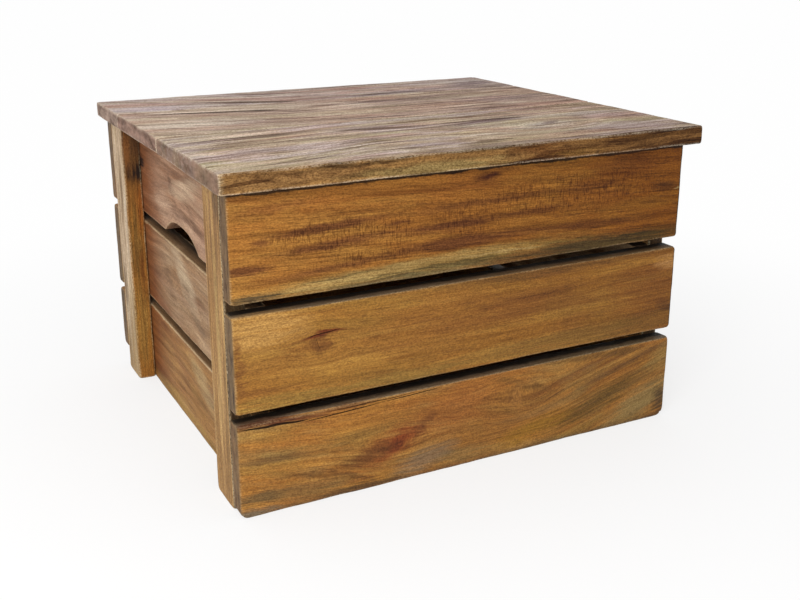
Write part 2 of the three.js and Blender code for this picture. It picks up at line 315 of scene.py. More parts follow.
def in_millimetres(tree):
    """The piece's own place on each axis, in mm."""
    return add(tree, "Mapping", {"Vector": add(tree, "TexCoord", out="Object"),
                                 "Scale": (1000, 1000, 1000)}, vector_type="POINT")


def streaky(tree, place, length, width, detail=3.0, roughness=0.6, out=0):
    """Noise whose blotches, of this length and width in mm, lie along the grain."""
    sized = add(tree, "Mapping", {"Vector": place, "Scale": (length, width, width)},
                vector_type="TEXTURE")
    return add(tree, "TexNoise", {"Vector": sized, "Scale": 1.0, "Detail": detail,
                                  "Roughness": roughness}, out=out)


def blot(tree, place, centre, reach, angle=(0, 0, 0)):
    """1 at the centre of an ellipse, falling to 0 at its edge."""
    local = add(tree, "Mapping", {"Vector": place, "Location": centre, "Scale": reach,
                                  "Rotation": [math.radians(a) for a in angle]},
                vector_type="TEXTURE")
    return add(tree, "TexGradient", {"Vector": local}, gradient_type="SPHERICAL", out="Fac")


def grain_place(tree, real, grain, across, seed, tilt, bends, knots, sway):
    """Each point's place with the grain along X, where the grain turns at each bend,
    parts round each knot, and sways from side to side over its length."""
    turned = add(tree, "Mapping", {"Vector": real, "Rotation": GRAIN_TURN[grain]},
                 vector_type="POINT")
    place = turned
    for start, side, degrees in bends:
        beyond = add(tree, "Math", {0: add(tree, "SeparateXYZ", {0: turned}), 1: side,
                                    2: -side * start}, operation="MULTIPLY_ADD")
        past = add(tree, "Math", {0: beyond, 1: 0.0, 2: BEND_OVER},
                   operation="SMOOTH_MAX")
        slope = [0, 0, 0]
        slope[across] = -side * math.tan(math.radians(degrees))
        place = add(tree, "VectorMath", {0: past, 1: slope, 2: place},
                    operation="MULTIPLY_ADD")
    for centre, reach, pull in knots:
        knot_place = Euler(GRAIN_TURN[grain]).to_matrix() @ Vector(centre)
        away = add(tree, "VectorMath", {0: turned, 1: knot_place}, operation="SUBTRACT")
        sideways = add(tree, "VectorMath", {0: away, 1: (0, -pull, -pull)},
                       operation="MULTIPLY")
        close = blot(tree, real, centre, reach)
        place = add(tree, "VectorMath", {0: sideways, 1: close, 2: place},
                    operation="MULTIPLY_ADD")
    apart = [seed * step for step in BOARDS_APART]
    place = add(tree, "Mapping", {"Vector": place, "Location": apart,
                                  "Rotation": (0, math.radians(tilt), 0)},
                vector_type="POINT")
    wander = add(tree, "VectorMath",
                 {0: streaky(tree, place, *SWAY_SIZE, 2.0, out="Color"), 1: HALF},
                 operation="SUBTRACT")
    return add(tree, "VectorMath", {0: wander, 1: (0, 2 * sway, 2 * sway), 2: place},
               operation="MULTIPLY_ADD")


def banded(tree, place, band, pale, middle, dark, tints):
    """Broad bands of the wood's three browns, and long patches tinted otherwise."""
    broad = streaky(tree, place, *band, 5.0)
    colour = add(tree, "ValToRGB", {"Fac": broad},
                 stops=[(0.34, linear(dark)), (0.46, linear(middle)),
                        (0.54, linear(middle)), (0.66, linear(pale))])
    for i, (tint, size, strength) in enumerate(tints):
        apart = (300.0 * i + 90, 40.0 * i, 70.0 * i)    # else all tints fall together
        own = add(tree, "VectorMath", {0: place, 1: apart})
        patch = add(tree, "ValToRGB", {"Fac": streaky(tree, own, 2.6 * size, 0.5 * size)},
                    stops=[(0.47, BLACK), (0.62, WHITE)])
        soak = add(tree, "Math", {0: patch, 1: strength}, operation="MULTIPLY")
        colour = add(tree, "Mix", {FACTOR: soak, UNDER: colour, UPON: linear(tint)}, **OVER)
    return colour


def stained(tree, colour, real, frayed, streak, thirsts, faces, marks):
    """Whole faces of another tone, then stains, which spread in along the streaks."""
    for axis, level, depth, tone, strength, fade in faces:
        soak = add(tree, "Math", {0: add(tree, "SeparateXYZ", {0: real}, out=axis),
                                  1: level, 2: depth}, operation="COMPARE")
        soak = add(tree, "Math", {0: soak, 1: strength}, operation="MULTIPLY")
        if fade:
            fade_axis, none, full = fade
            way = add(tree, "SeparateXYZ", {0: frayed}, out=fade_axis)
            share = add(tree, "MapRange", {"Value": way, "From Min": none,
                                           "From Max": full})
            soak = add(tree, "Math", {0: soak, 1: share}, operation="MULTIPLY")
        colour = add(tree, "Mix", {FACTOR: soak, UNDER: colour, UPON: linear(tone)}, **OVER)
    thirst = add(tree, "MapRange", {"Value": streak, "From Min": 0.38, "From Max": 0.60,
                                    "To Min": thirsts[0], "To Max": thirsts[1]})
    for centre, reach, angle, tone, strength in marks:
        spread = add(tree, "Math", {0: blot(tree, frayed, centre, reach, angle), 1: thirst},
                     operation="MULTIPLY")
        soak = add(tree, "MapRange", {"Value": spread, "From Min": 0.05, "From Max": 0.62,
                                      "To Max": strength})
        colour = add(tree, "Mix", {FACTOR: soak, UNDER: colour, UPON: linear(tone)}, **OVER)
    return colour


SWIRL_LONG, SWIRL_WIDE = 420, 2.4       # mm along the grain, and rings across it


def growth_rings(tree, place, across, ring, swirl, figure):
    """How dark the growth rings are: bands side by side, swirled by a smooth field."""
    smooth = streaky(tree, place, SWIRL_LONG, SWIRL_WIDE * ring, 1.0, 0.4)
    swirled = add(tree, "Math", {0: smooth, 1: swirl}, operation="MULTIPLY")
    phase = add(tree, "Math", {0: add(tree, "SeparateXYZ", {0: place}, out=across),
                               1: 2 * math.pi / ring, 2: swirled},
                operation="MULTIPLY_ADD")
    return add(tree, "MapRange", {"Value": add(tree, "Math", {0: phase}, operation="SINE"),
                                  "From Min": -0.3, "To Max": figure})


def saw_ticks(tree, real, frayed, chatter):
    """Short ticks across the grain, in patches where the saw blade shook."""
    tick = add(tree, "ValToRGB", {"Fac": streaky(tree, real, *TICK_SIZE, 2.0)},
               stops=[(0.50, BLACK), (0.62, WHITE)])
    patch = 0.0
    for centre, reach in chatter:
        patch = add(tree, "Math", {0: patch, 1: blot(tree, frayed, centre, reach)},
                    operation="MAXIMUM")
    patch = add(tree, "MapRange", {"Value": patch, "From Max": 0.45})
    return add(tree, "Math", {0: tick, 1: patch}, operation="MULTIPLY")


def with_tone_and_painted_falloff(tree, colour, real, axis, start, stop, near, far):
    """The colour, shaded from one end of the board to the other: partly the wood's tone,
    and partly painted falloff of the light.
    """
    way = add(tree, "SeparateXYZ", {0: real}, out=axis)
    share = add(tree, "MapRange", {"Value": way, "From Min": start, "From Max": stop})
    shade = add(tree, "ValToRGB", {"Fac": share}, stops=[(0.0, near), (1.0, far)])
    return add(tree, "Mix", {FACTOR: 1.0, UNDER: colour, UPON: shade}, **SHADE)


BLOTCH_DEEP = 9         # mm


def with_cut_ends(tree, colour, real, end, end_size):
    """The colour, with cut ends of the given tone in blotches: darkened by sawdust and
    dirt, or near black as painted shade where an end is tucked behind the slats.
    """
    sized = add(tree, "Mapping", {"Vector": real, "Scale": (BLOTCH_DEEP, *end_size)},
                vector_type="TEXTURE")
    blotch = add(tree, "TexNoise", {"Vector": sized, "Scale": 1.0, "Detail": 4.0,
                                    "Roughness": 0.7})
    tones = add(tree, "ValToRGB", {"Fac": blotch},
                stops=[(0.37, warm(0.34)), (0.48, warm(0.86)), (0.61, grey(1.42))])
    tone = add(tree, "Mix", {FACTOR: 1.0, UNDER: linear(end), UPON: tones}, **SHADE)
    at_end = add(tree, "Attribute", out="Fac", attribute_name="end_grain")
    return add(tree, "Mix", {FACTOR: at_end, UNDER: colour, UPON: tone}, **OVER)


def with_rubbed_arrises(tree, colour, fuzz, edge, edge_wear):
    """The colour, with paler wood bared along the arrises, broken up by the fuzz."""
    rubbed = add(tree, "MapRange",
                 {"Value": add(tree, "Attribute", out="Fac", attribute_name="wear"),
                  "From Min": 0.25, "From Max": 0.85, "To Max": edge_wear})
    broken = add(tree, "MapRange", {"Value": fuzz, "From Min": 0.38, "From Max": 0.60})
    rub = add(tree, "Math", {0: rubbed, 1: broken}, operation="MULTIPLY")
    return add(tree, "Mix", {FACTOR: rub, UNDER: colour, UPON: linear(edge)}, **OVER)


# What the lists that board_wood takes hold, with places and sizes in mm:
#   tints    patches here and there: (tone, size, strength)
#   faces    a whole face: (its axis, its level, how deep, tone, strength, fade), where
#            fade is None or (axis, where there is none, where it is full)
#   marks    stains: (middle, reach, turn in degrees, tone, strength)
#   bends    where the grain turns: (start, side, degrees)
#   knots    what the grain parts round: (middle, reach, pull)
#   chatter  patches of saw marks: (middle, reach)
#   drift    a slow change of tone and of painted light falloff: (axis, start, stop,
#            shade at the start, shade at the stop)
# Each size of a pattern is (length along the grain, width across it), and end_size is
# (width, height) of the blotches on a cut end. Real fibres and pores are a few tenths of
# a millimetre wide, and are drawn wider so that they show.
GRAIN_RELIEF, ROLLED_RELIEF = 0.6 * MM, 0.05 * MM


def board_wood(name, seed, pale, middle, dark, grain=X, across=Z, tilt=0.0, bends=(),
               knots=(), sway=5.0, band=(210, 15), tints=(), faces=(), marks=(),
               figure=0.3, ring=16.0, swirl=30.0, streak_size=(80, 2.6), streaks=0.5,
               thirsts=(1.6, 0.4), fibre_size=(20, 0.9), fibres=0.5, crack_size=(60, 1.5),
               cracks=0.5, dash_size=(9, 1.1), dashes=0.4, chatter=(), speckle=0.15,
               drift=None, end=None, end_size=(6, 24), edge="#b59b72", edge_wear=0.4,
               roughness=0.62, specular=0.22, bump=0.5):
    """A board: broad bands of colour, tinted patches, stains of its own, the figure of
    its growth rings, streaks, fibres, hairline cracks and short pores along the grain,
    and rubbed arrises. Lengths are in mm, and strengths run from 0 to 1."""
    material, tree = new_tree(name)
    real = in_millimetres(tree)
    place = grain_place(tree, real, grain, across, seed, tilt, bends, knots, sway)
    colour = banded(tree, place, band, pale, middle, dark, tints)

    # The edges of stains are ragged along the grain.
    streak = streaky(tree, place, *streak_size, 4.0, 0.65)
    ragged = add(tree, "VectorMath",
                 {0: streaky(tree, place, *RAGGED_SIZE, out="Color"), 1: HALF},
                 operation="SUBTRACT")
    frayed = add(tree, "VectorMath", {0: ragged, 1: FRAY[grain], 2: real},
                 operation="MULTIPLY_ADD")
    colour = stained(tree, colour, real, frayed, streak, thirsts, faces, marks)

    # Darker lines along the grain, from the broadest to the finest, then saw marks and
    # the fuzz of torn fibres.
    rings = growth_rings(tree, place, across, ring, swirl, figure)
    lines = add(tree, "ValToRGB", {"Fac": streak},
                stops=[(0.36, warm(0.40)), (0.46, warm(0.84)), (0.54, grey(1.03)),
                       (0.66, grey(1.32))])
    fibre = streaky(tree, place, *fibre_size, 3.0)
    threads = add(tree, "ValToRGB", {"Fac": fibre},
                  stops=[(0.36, warm(0.55)), (0.62, grey(1.28))])
    crack = add(tree, "MapRange", {"Value": streaky(tree, place, *crack_size, 2.0, 0.5),
                                   "From Min": 0.625, "From Max": 0.665,
                                   "To Max": cracks})
    pore = add(tree, "MapRange", {"Value": streaky(tree, place, *dash_size, 1.0),
                                  "From Min": 0.60, "From Max": 0.68, "To Max": dashes})
    fuzz = streaky(tree, place, *FUZZ_SIZE, 2.0, 0.7)
    fuzzy = add(tree, "ValToRGB", {"Fac": fuzz},
                stops=[(0.32, warm(1 - 2.4 * speckle)), (0.68, grey(1 + 2.0 * speckle))])
    layers = [(rings, warm(0.58)), (streaks, lines), (fibres, threads),
              (crack, warm(0.36)), (pore, warm(0.45))]
    relief = [(fibre, 0.9), (streak, 0.9), (fuzz, 0.4), (pore, -0.5)]
    if chatter:
        ticks = saw_ticks(tree, real, frayed, chatter)
        layers.append((ticks, warm(0.54)))
        relief.append((ticks, -0.25))
    layers.append((1.0, fuzzy))
    for amount, shade in layers:
        colour = add(tree, "Mix", {FACTOR: amount, UNDER: colour, UPON: shade}, **SHADE)

    if drift:
        colour = with_tone_and_painted_falloff(tree, colour, real, *drift)
    if end:
        colour = with_cut_ends(tree, colour, real, end, end_size)
    colour = with_rubbed_arrises(tree, colour, fuzz, edge, edge_wear)

    height = add(tree, "Math", {0: crack, 1: -1.6}, operation="MULTIPLY")
    for part, share in relief:
        height = add(tree, "Math", {0: part, 1: share, 2: height},
                     operation="MULTIPLY_ADD")
    grainy = add(tree, "Bump", {"Height": height, "Strength": bump,
                                "Distance": GRAIN_RELIEF})
    gloss = add(tree, "MapRange", {"Value": streak, "From Min": 0.3, "From Max": 0.7,
                                   "To Min": roughness + 0.12, "To Max": roughness - 0.08})
    skin = add(tree, "BsdfPrincipled",
               {"Base Color": colour, "Roughness": gloss, "IOR": 1.5,
                "Specular IOR Level": specular, "Normal": grainy})
    add(tree, "OutputMaterial", {"Surface": skin})
    return material


def worn_metal(name, bright, tarnish, roughness, grain):
    """Old sheet metal: dull patches of tarnish over a faint rolled grain, in mm."""
    material, tree = new_tree(name)
    real = in_millimetres(tree)
    patches = streaky(tree, real, *TARNISH_SIZE, 5.0, 0.65)
    rolled = streaky(tree, real, 20 * grain, grain, 2.0)
    colour = add(tree, "ValToRGB", {"Fac": patches},
                 stops=[(0.38, linear(tarnish)), (0.62, linear(bright))])
    dull = add(tree, "MapRange", {"Value": patches, "From Min": 0.35, "From Max": 0.65,
                                  "To Min": roughness + 0.22, "To Max": roughness})
    lines = add(tree, "Bump", {"Height": rolled, "Strength": 0.25,
                               "Distance": ROLLED_RELIEF})
    skin = add(tree, "BsdfPrincipled", {"Base Color": colour, "Metallic": 1.0,
                                        "Roughness": dull, "Normal": lines})
    add(tree, "OutputMaterial", {"Surface": skin})
    return material


def split_shade(name, deep, lit):
    """Torn wood down in a crack, in dark tones that paint the crack's shade."""
    material, tree = new_tree(name)
    torn = streaky(tree, in_millimetres(tree), *TORN_SIZE)
    colour = add(tree, "ValToRGB", {"Fac": torn},
                 stops=[(0.35, linear(deep)), (0.7, linear(lit))])
    skin = add(tree, "BsdfPrincipled", {"Base Color": colour, "Roughness": 0.9,
                                        "Specular IOR Level": 0.1})
    add(tree, "OutputMaterial", {"Surface": skin})
    return material


LOW, HIGH = 0, 1


def face(node, side, axis, decimals=1):
    """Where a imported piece's low or high face on an axis is, in mm."""
    return round(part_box(node)[side][axis] / MM, decimals)


FRONT_FACE = face("front_slat_top", LOW, Y)
SLAT_END = face("front_slat_top", HIGH, X)
MIDDLE_SLAT_TOP = face("front_slat_middle", HIGH, Z)
BOTTOM_SLAT_TOP = face("front_slat_bottom", HIGH, Z)
LEFT_FACE = face("left_end_board_top", LOW, X)
LEFT_CLEAT_FACE = face("corner_cleat_back_left", LOW, X)
INNER_CLEAT_FACE = face("corner_cleat_back_left", LOW, Y)   # looks at the front ones
BEHIND_SLATS = face("corner_cleat_front_left", LOW, Y)
LID_FRONT_FACE = face("lid_board_front", LOW, Y)
LID_TOP_FACE = face("lid_board_front", HIGH, Z)
LID_BOTTOM_FACE = face("lid_board_front", LOW, Z)


def front(x, z):
    """A place on the front slats' outer faces."""
    return (x, FRONT_FACE, z)


# Each of these turns rows of stains into marks. A row gives the stain's middle on the
# face, its reach the same two ways, all in mm, then its slant in degrees where it has
# one, its tone and its strength.
LEVEL = (0, 0, 0)
SKIN_DEEP, LID_DEEP, EDGE_DEEP = 12, 10, 9      # mm that a stain goes into the wood


def on_front(*stains):
    """On the front slats' outer faces."""
    return [(front(x, z), (long, SKIN_DEEP, high), (0, -slant, 0), tone, strength)
            for x, z, long, high, slant, tone, strength in stains]


def on_end(*stains):
    """On the left end boards' outer faces."""
    return [((LEFT_FACE, y, z), (SKIN_DEEP, long, high), (slant, 0, 0), tone, strength)
            for y, z, long, high, slant, tone, strength in stains]


def on_lid(*stains):
    """On top of the lid."""
    return [((x, y, LID_TOP_FACE), (long, wide, LID_DEEP), (0, 0, slant), tone, strength)
            for x, y, long, wide, slant, tone, strength in stains]


def on_lid_front(*stains):
    """On the lid's front edge."""
    return [((x, LID_FRONT_FACE, z), (long, EDGE_DEEP, high), LEVEL, tone, strength)
            for x, z, long, high, tone, strength in stains]


def on_cleat(*stains):
    """On the left cleats' outer faces."""
    return [((LEFT_CLEAT_FACE, y, z), (EDGE_DEEP, wide, high), LEVEL, tone, strength)
            for y, z, wide, high, tone, strength in stains]


def on_inner_cleat(*stains):
    """On the side of the back cleats that looks at the front ones."""
    return [((x, INNER_CLEAT_FACE, z), (wide, EDGE_DEEP, high), LEVEL, tone, strength)
            for x, z, wide, high, tone, strength in stains]


def slat_top_dust_and_painted_shade(level):
    """The face on top of a front slat: dusty grey, partly painted shade, and near black
    further in as painted shade of the gap.
    """
    return [(Z, level, 0.9, "#6f6150", 0.9, None),
            (Z, level, 0.9, "#130d08", 0.94, (Y, -211.5, -206.5))]


# Acacia, sawn and oiled: warm, satin browns between yellow and red, which darken towards
# the right end of each board, partly in tone and partly as painted falloff of the light.
# The top slat shows the marks of a saw that shook.
DARK_BAND = "#6f421f"
RIGHT_ARRIS = (X, SLAT_END, 1.8, "#21150c", 0.85, None)     # darker at the right ends
oiled_top_slat = board_wood(
    "acacia slat, chatter-sawn and oiled", 1.0, "#b27832", "#9f682a", "#84501d",
    tints=[("#8d5221", 60, 0.35), ("#a97d38", 45, 0.4)],
    # Painted shadow of the lid: near black on the front face from 306 mm up.
    faces=[(Y, FRONT_FACE, 1.5, "#1a110a", 0.88, (Z, 305.3, 306.3)), RIGHT_ARRIS],
    marks=on_front(
        # The pale band along the lower edge, grey-green to the right.
        (-60, 219, 250, 12, 2, "#9c8048", 0.9), (-120, 219, 100, 7, 3, "#b3965a", 0.6),
        (-10, 226, 90, 4, 1, "#a88c55", 0.5), (-20, 216, 70, 4, 3, "#75663c", 0.7),
        (150, 214, 160, 13, 1, "#544a30", 0.9), (-60, 211, 150, 5, 1, "#665c3c", 0.8),
        (-228, 213, 34, 6, 0, "#4f4029", 0.9),
        # Fine lines in that band.
        (-60, 217, 120, 1.7, 1, "#6b5a34", 0.8),
        (-150, 220.5, 70, 1.5, 3, "#6f5c33", 0.7),
        (30, 222, 80, 1.6, 0.5, "#c4a86f", 0.6),
        (-100, 213.5, 60, 1.4, 2, "#57462a", 0.7), (170, 219, 70, 1.6, 0, "#3f3722", 0.7),
        (110, 223, 50, 1.6, 1, "#8d7440", 0.6),
        # Dark ribbons along the grain.
        (-157, 269.5, 84, 6, 3.2, DARK_BAND, 0.95),
        (-86, 264.5, 20, 3.5, 1, DARK_BAND, 0.85),
        (14, 274.5, 120, 5.5, 1.5, DARK_BAND, 0.65), (135, 276, 56, 7, 0, DARK_BAND, 0.7),
        (-145, 253.5, 84, 6, 3, DARK_BAND, 0.9), (-30, 255.5, 76, 7, 1.5, DARK_BAND, 1.0),
        (60, 259, 60, 5, 2, DARK_BAND, 0.7), (-236, 239, 34, 6, 1, DARK_BAND, 0.95),
        (-150, 231, 100, 5.5, 4, DARK_BAND, 0.75), (-15, 238, 100, 9, 1, DARK_BAND, 1.0),
        (120, 237, 120, 6, -1.5, DARK_BAND, 0.8),
        # Redder wood by the upper edge, a small knot, and a nick at the right end.
        (180, 296, 60, 15, 0, "#6b3a1b", 0.55), (8, 298, 20, 6, 4, "#4d2412", 0.95),
        (-220, 262, 13, 5, 3, DARK_BAND, 0.85), (-205, 293, 50, 6, 5, "#8a5527", 0.6),
        (230, 268, 22, 8, 0, "#5a3a20", 0.6), (247, 262.5, 8, 1.3, 0, "#cdbfa8", 0.9)),
    chatter=[(front(-150, 262), (90, 14, 20)), (front(-88, 258), (28, 14, 22)),
             (front(-10, 260), (50, 14, 22)), (front(110, 272), (150, 14, 26)),
             (front(-110, 236), (80, 14, 9))],
    tilt=-2.5, sway=3.0, figure=0.4, ring=15.0, swirl=9.0, streaks=0.34,
    thirsts=(1.35, 0.7), specular=0.14,
    drift=(X, -SLAT_END, SLAT_END, (1.05, 1.13, 1.28, 1), (0.54, 0.46, 0.25, 1)),
    end="#614d35")
oiled_middle_slat = board_wood(
    "acacia slat, planed and oiled golden", 2.0, "#af823a", "#9b6c2b", "#7f5321",
    tints=[("#8d7635", 70, 0.3), ("#895829", 60, 0.3)],
    faces=[*slat_top_dust_and_painted_shade(MIDDLE_SLAT_TOP), RIGHT_ARRIS],
    marks=on_front(
        # Olive along the lower edge, and a paler upper left corner.
        (-110, 111, 180, 9, 0, "#8f763a", 0.6), (110, 116, 170, 13, 0, "#8c7039", 0.6),
        (-222, 183, 60, 26, 0, "#bd9250", 0.85), (-200, 150, 100, 22, 0, "#9b6d30", 0.5),
        # The knot and its crack.
        (-184, 161, 36, 15, 8, "#875824", 0.6), (-167, 158, 11, 15, 12, "#6f441e", 0.55),
        (-164, 169.5, 26, 4, 6, "#6a2c10", 0.9),
        # Darker streaks, and what shows at the two ends.
        (90, 194, 170, 7, 0, "#6e4e24", 0.7), (60, 158, 150, 14, 1, "#855426", 0.5),
        (242, 182, 24, 11, 0, "#d9ad74", 0.9), (240, 133, 16, 9, -20, "#5e3d1e", 0.6),
        (215, 160, 60, 40, 0, "#8a5426", 0.4), (-215, 112, 60, 10, 0, "#8f7234", 0.6),
        (-246, 150, 7, 40, 0, "#7a4d22", 0.7)),
    knots=[(front(-168, 160), (40, 20, 26), 0.8)], sway=4.0, figure=0.22, ring=14.0,
    swirl=30.0, streaks=0.22, fibres=0.36, dashes=0.25, cracks=0.3,
    drift=(X, -SLAT_END, SLAT_END, grey(1.0), (0.645, 0.565, 0.42, 1)), end="#5f4b31")
oiled_bottom_slat = board_wood(
    "acacia slat with a knot, planed and oiled", 3.0, "#c38d3e", "#a77230", "#855322",
    tints=[("#8a743b", 70, 0.45), ("#a76628", 55, 0.5), ("#92895b", 40, 0.25)],
    faces=[*slat_top_dust_and_painted_shade(BOTTOM_SLAT_TOP),
           # Painted shade along the foot of the front face, darkest by the floor.
           (Y, FRONT_FACE, 1.5, "#4d3b28", 0.7, (Z, 7.0, 1.0))],
    marks=on_front(
        # A broad brown field with the reddish knot in it.
        (0, 48, 150, 60, 0, "#83582a", 0.5), (-92, 42, 60, 24, 24, "#9a5a25", 0.6),
        (-96, 41, 46, 17, 20, "#84481e", 0.85), (-92, 42, 28, 9, 46, "#7a3816", 0.8),
        (-72, 50, 22, 7, 20, "#7f3f1a", 0.7), (-92, 40, 9, 9, 60, "#66290f", 0.75),
        (-20, 66, 60, 30, 20, "#9c5f2a", 0.6),
        # Torn wood where the splinter was lost.
        (-216, 91.5, 52, 5, -2, "#5c2f18", 0.95),
        (-150, 90.5, 60, 3.5, 2, "#6b3f1f", 0.7),
        # Dark swirls round the knot.
        (-120, 35, 40, 11, 12, "#6d451f", 0.8), (-58, 55, 22, 8, 35, "#6c3d1b", 0.8),
        # Brown and olive fields on the right.
        (156, 36, 96, 17, 18, "#694d1f", 0.85), (72, 22, 66, 14, 12, "#9c7122", 0.7),
        (150, 66, 110, 7, 12, "#75532a", 0.6), (212, 22, 70, 22, 25, "#998051", 0.8),
        # Slanting lines on the left, and dust and dirt down by the floor.
        (-215, 55, 44, 6, -4, "#634525", 0.7), (-170, 26, 50, 5, -16, "#69481f", 0.65),
        (-140, 20, 44, 4, -24, "#5f3f1e", 0.6), (-232, 18, 36, 9, 0, "#5c4428", 0.7),
        (-196, 15, 76, 14, -6, "#725c37", 0.65), (-130, 4, 60, 5, 0, "#4a3520", 0.7),
        (-56, 18, 46, 16, 12, "#80705a", 0.65), (-10, 12, 50, 12, 0, "#84744a", 0.45),
        (-240, 4, 40, 7, 0, "#6f6552", 0.8),
        # Streaks below the upper arris, a pale eye, and the dark lower right corner.
        (150, 90, 120, 6, -3, "#5c431f", 0.5), (60, 75, 55, 6, -20, "#7a5527", 0.6),
        (52, 62, 11, 17, -14, "#a5733a", 0.7), (46, 68, 4, 15, -24, "#7b5024", 0.6),
        (245, 20, 16, 22, 0, "#4c3620", 0.85)),
    bends=[(95, 1, 15), (-130, -1, -7)], thirsts=(1.4, 0.6),
    knots=[(front(-88, 44), (70, 20, 34), 0.85), (front(55, 66), (60, 20, 36), 0.85)],
    sway=7.0, figure=0.26, ring=13.0, swirl=34.0, streaks=0.24, fibres=0.38, dashes=0.3,
    cracks=0.35,
    drift=(X, -SLAT_END, SLAT_END, grey(1.0), (0.78, 0.82, 0.76, 1)), end="#634e34")

# The same wood left bare on the lid: grey-brown and dry, with pink and yellowish bands
# and open grain, darker towards the right end as painted falloff of the light. It is seen
# at a slant, so its streaks are drawn wide enough to show.
LID = {"across": Y, "band": (240, 30), "streak_size": (130, 7.0), "streaks": 0.72,
       "fibre_size": (70, 3.2), "fibres": 0.55, "crack_size": (110, 5.2), "cracks": 0.9,
       "dash_size": (30, 4.0), "dashes": 0.55, "sway": 10.0, "figure": 0.18,
       "ring": 34.0, "swirl": 34.0, "speckle": 0.2, "end_size": (38, 14),
       "edge": "#cbbca5", "roughness": 0.75, "specular": 0.12,
       "drift": (X, -SLAT_END, SLAT_END, grey(1.04), (0.84, 0.80, 0.80, 1))}
LID_DARK = "#6a5548"
LID_UNDERSIDE = (Z, LID_BOTTOM_FACE, 1.6, "#a68e74", 0.65, None)    # never in the sun
weathered_front = board_wood(
    "acacia lid board, sawn and greyed, front", 4.0, "#d9d0be", "#baab94", "#95826d",
    tints=[("#bd9987", 60, 0.55), ("#b7b38a", 70, 0.5), ("#b5a9b5", 45, 0.45)],
    faces=[(Y, LID_FRONT_FACE, 1.6, "#8d6a3c", 1.0, None),
           # A pale band along the lower arris of the front edge: rubbed wood and painted
           # highlight.
           (Y, LID_FRONT_FACE, 1.9, "#b59868", 0.6, (Z, 313.6, 312.4)),
           LID_UNDERSIDE,
           # Painted shade: near black on the underside along the front edge.
           (Z, LID_BOTTOM_FACE, 0.7, "#2b1d10", 1.0, (Y, -231.2, -232.4))],
    marks=on_lid(
        # Dark streaks by the joint with the middle board.
        (-170, -80, 100, 9, 5, LID_DARK, 0.85), (35, -72, 100, 8, 0, "#7c5e48", 0.85),
        (70, -102, 75, 15, 8, "#6c5453", 0.9), (-40, -98, 66, 9, -14, LID_DARK, 0.8),
        # A pale eye with a faint knot, and brown by the eye and the front arris.
        (110, -150, 66, 26, 0, "#c7c3b9", 0.7), (20, -135, 60, 20, -20, "#967556", 0.6),
        (130, -140, 26, 12, 30, "#7d6b69", 0.7), (-40, -224, 280, 10, 0, "#8c7960", 0.6))
    + on_lid_front(
        # Brown on the left, olive in the middle, dark on the right.
        (-200, 322, 110, 16, "#88673e", 0.85), (-40, 316, 130, 9, "#8e7c4e", 0.85),
        (-60, 328.5, 220, 5, "#5d4729", 0.8), (170, 321, 170, 22, "#573a1b", 1.0),
        (215, 318, 90, 30, "#4f3419", 0.85), (60, 320, 50, 16, "#67421f", 0.8),
        (205, 325, 60, 4, "#6f5029", 0.6), (110, 317, 60, 4, "#7d5f2d", 0.5),
        (126, 315, 5, 5, "#22150c", 1.0), (-259, 321, 6, 30, "#9f8c6b", 0.8)),
    bends=[(-90, -1, 7)], knots=[((112, -148, LID_TOP_FACE), (90, 50, 20), 0.8)],
    end="#715848", edge_wear=0.5, **LID)
weathered_middle = board_wood(
    "acacia lid board, sawn and greyed, middle", 5.0, "#d8cdbd", "#baa694", "#958174",
    tints=[("#bf9786", 70, 0.55), ("#bcb698", 60, 0.45), ("#ad9a98", 50, 0.4)],
    faces=[LID_UNDERSIDE],
    marks=on_lid(
        # Beside the long crack.
        (-178, 87, 95, 5.5, -13, "#4f413b", 0.9), (-112, 74, 26, 5, -13, "#453732", 0.85),
        # Dark streaks.
        (60, 78, 130, 14, -2, "#7d6962", 0.85), (190, 30, 110, 30, 0, "#8d7b7a", 0.6),
        (130, -29, 66, 8, 0, LID_DARK, 0.9), (-20, -27, 75, 9, -4, "#706159", 0.85),
        (140, 5, 44, 20, -20, "#90705c", 0.6),
        # Paler and pinker fields.
        (-200, 20, 90, 36, 0, "#d5cfc1", 0.6), (60, 15, 120, 22, 0, "#af8e7a", 0.6)),
    bends=[(-70, -1, -12)], end="#82675a", edge_wear=0.8, **LID)
weathered_back = board_wood(
    "acacia lid board, sawn and greyed, back", 6.0, "#dbd6d0", "#bbada4", "#958980",
    tints=[("#c09688", 60, 0.55), ("#aaa1a6", 50, 0.45), ("#cdc3ab", 40, 0.4)],
    faces=[LID_UNDERSIDE],
    marks=on_lid(
        (-100, 140, 80, 9, -22, "#746157", 0.85),
        (-50, 195, 110, 10, -14, "#867269", 0.8),
        (-110, 168, 60, 12, -20, "#9d7669", 0.7), (90, 135, 90, 13, 10, "#776969", 0.8),
        (-215, 140, 70, 22, -12, "#bcb0bd", 0.7), (220, 170, 60, 36, 30, "#8a7d80", 0.7)),
    bends=[(-60, -1, -18)], end="#8e796c", edge_wear=0.75, **LID)

# Planed acacia boards, waxed thin: soft tan, smooth, with few open pores. They go over
# to orange where the oil of the back cleats ran onto them.
# Their cut ends, tucked behind the slats, are near black: painted shade.
PLANED = {"grain": Y, "band": (170, 24), "streak_size": (110, 6), "streaks": 0.38,
          "fibre_size": (40, 1.4), "fibres": 0.32, "cracks": 0.2, "dashes": 0.2,
          "figure": 0.45, "ring": 22.0, "swirl": 24.0, "sway": 6.0, "speckle": 0.12,
          "edge": "#c7ae88", "edge_wear": 0.6, "end": "#1f1710", "roughness": 0.66}
OIL_RUN = (X, LEFT_FACE, 1.5, "#77431d", 0.85, (Y, 62, 130))


def end_top_with_painted_shade(level):
    """The upper face of an end board: brown, near black further in as painted shade, and
    rubbed along the outer arris."""
    return [(Z, level + 0.9, 1.2, "#85694a", 0.9, None),
            (Z, level + 0.9, 1.2, "#20170e", 0.9, (X, -226, -214)),
            (X, LEFT_FACE, 1.5, "#c4ab85", 0.75, (Z, level - 2.2, level - 0.8))]


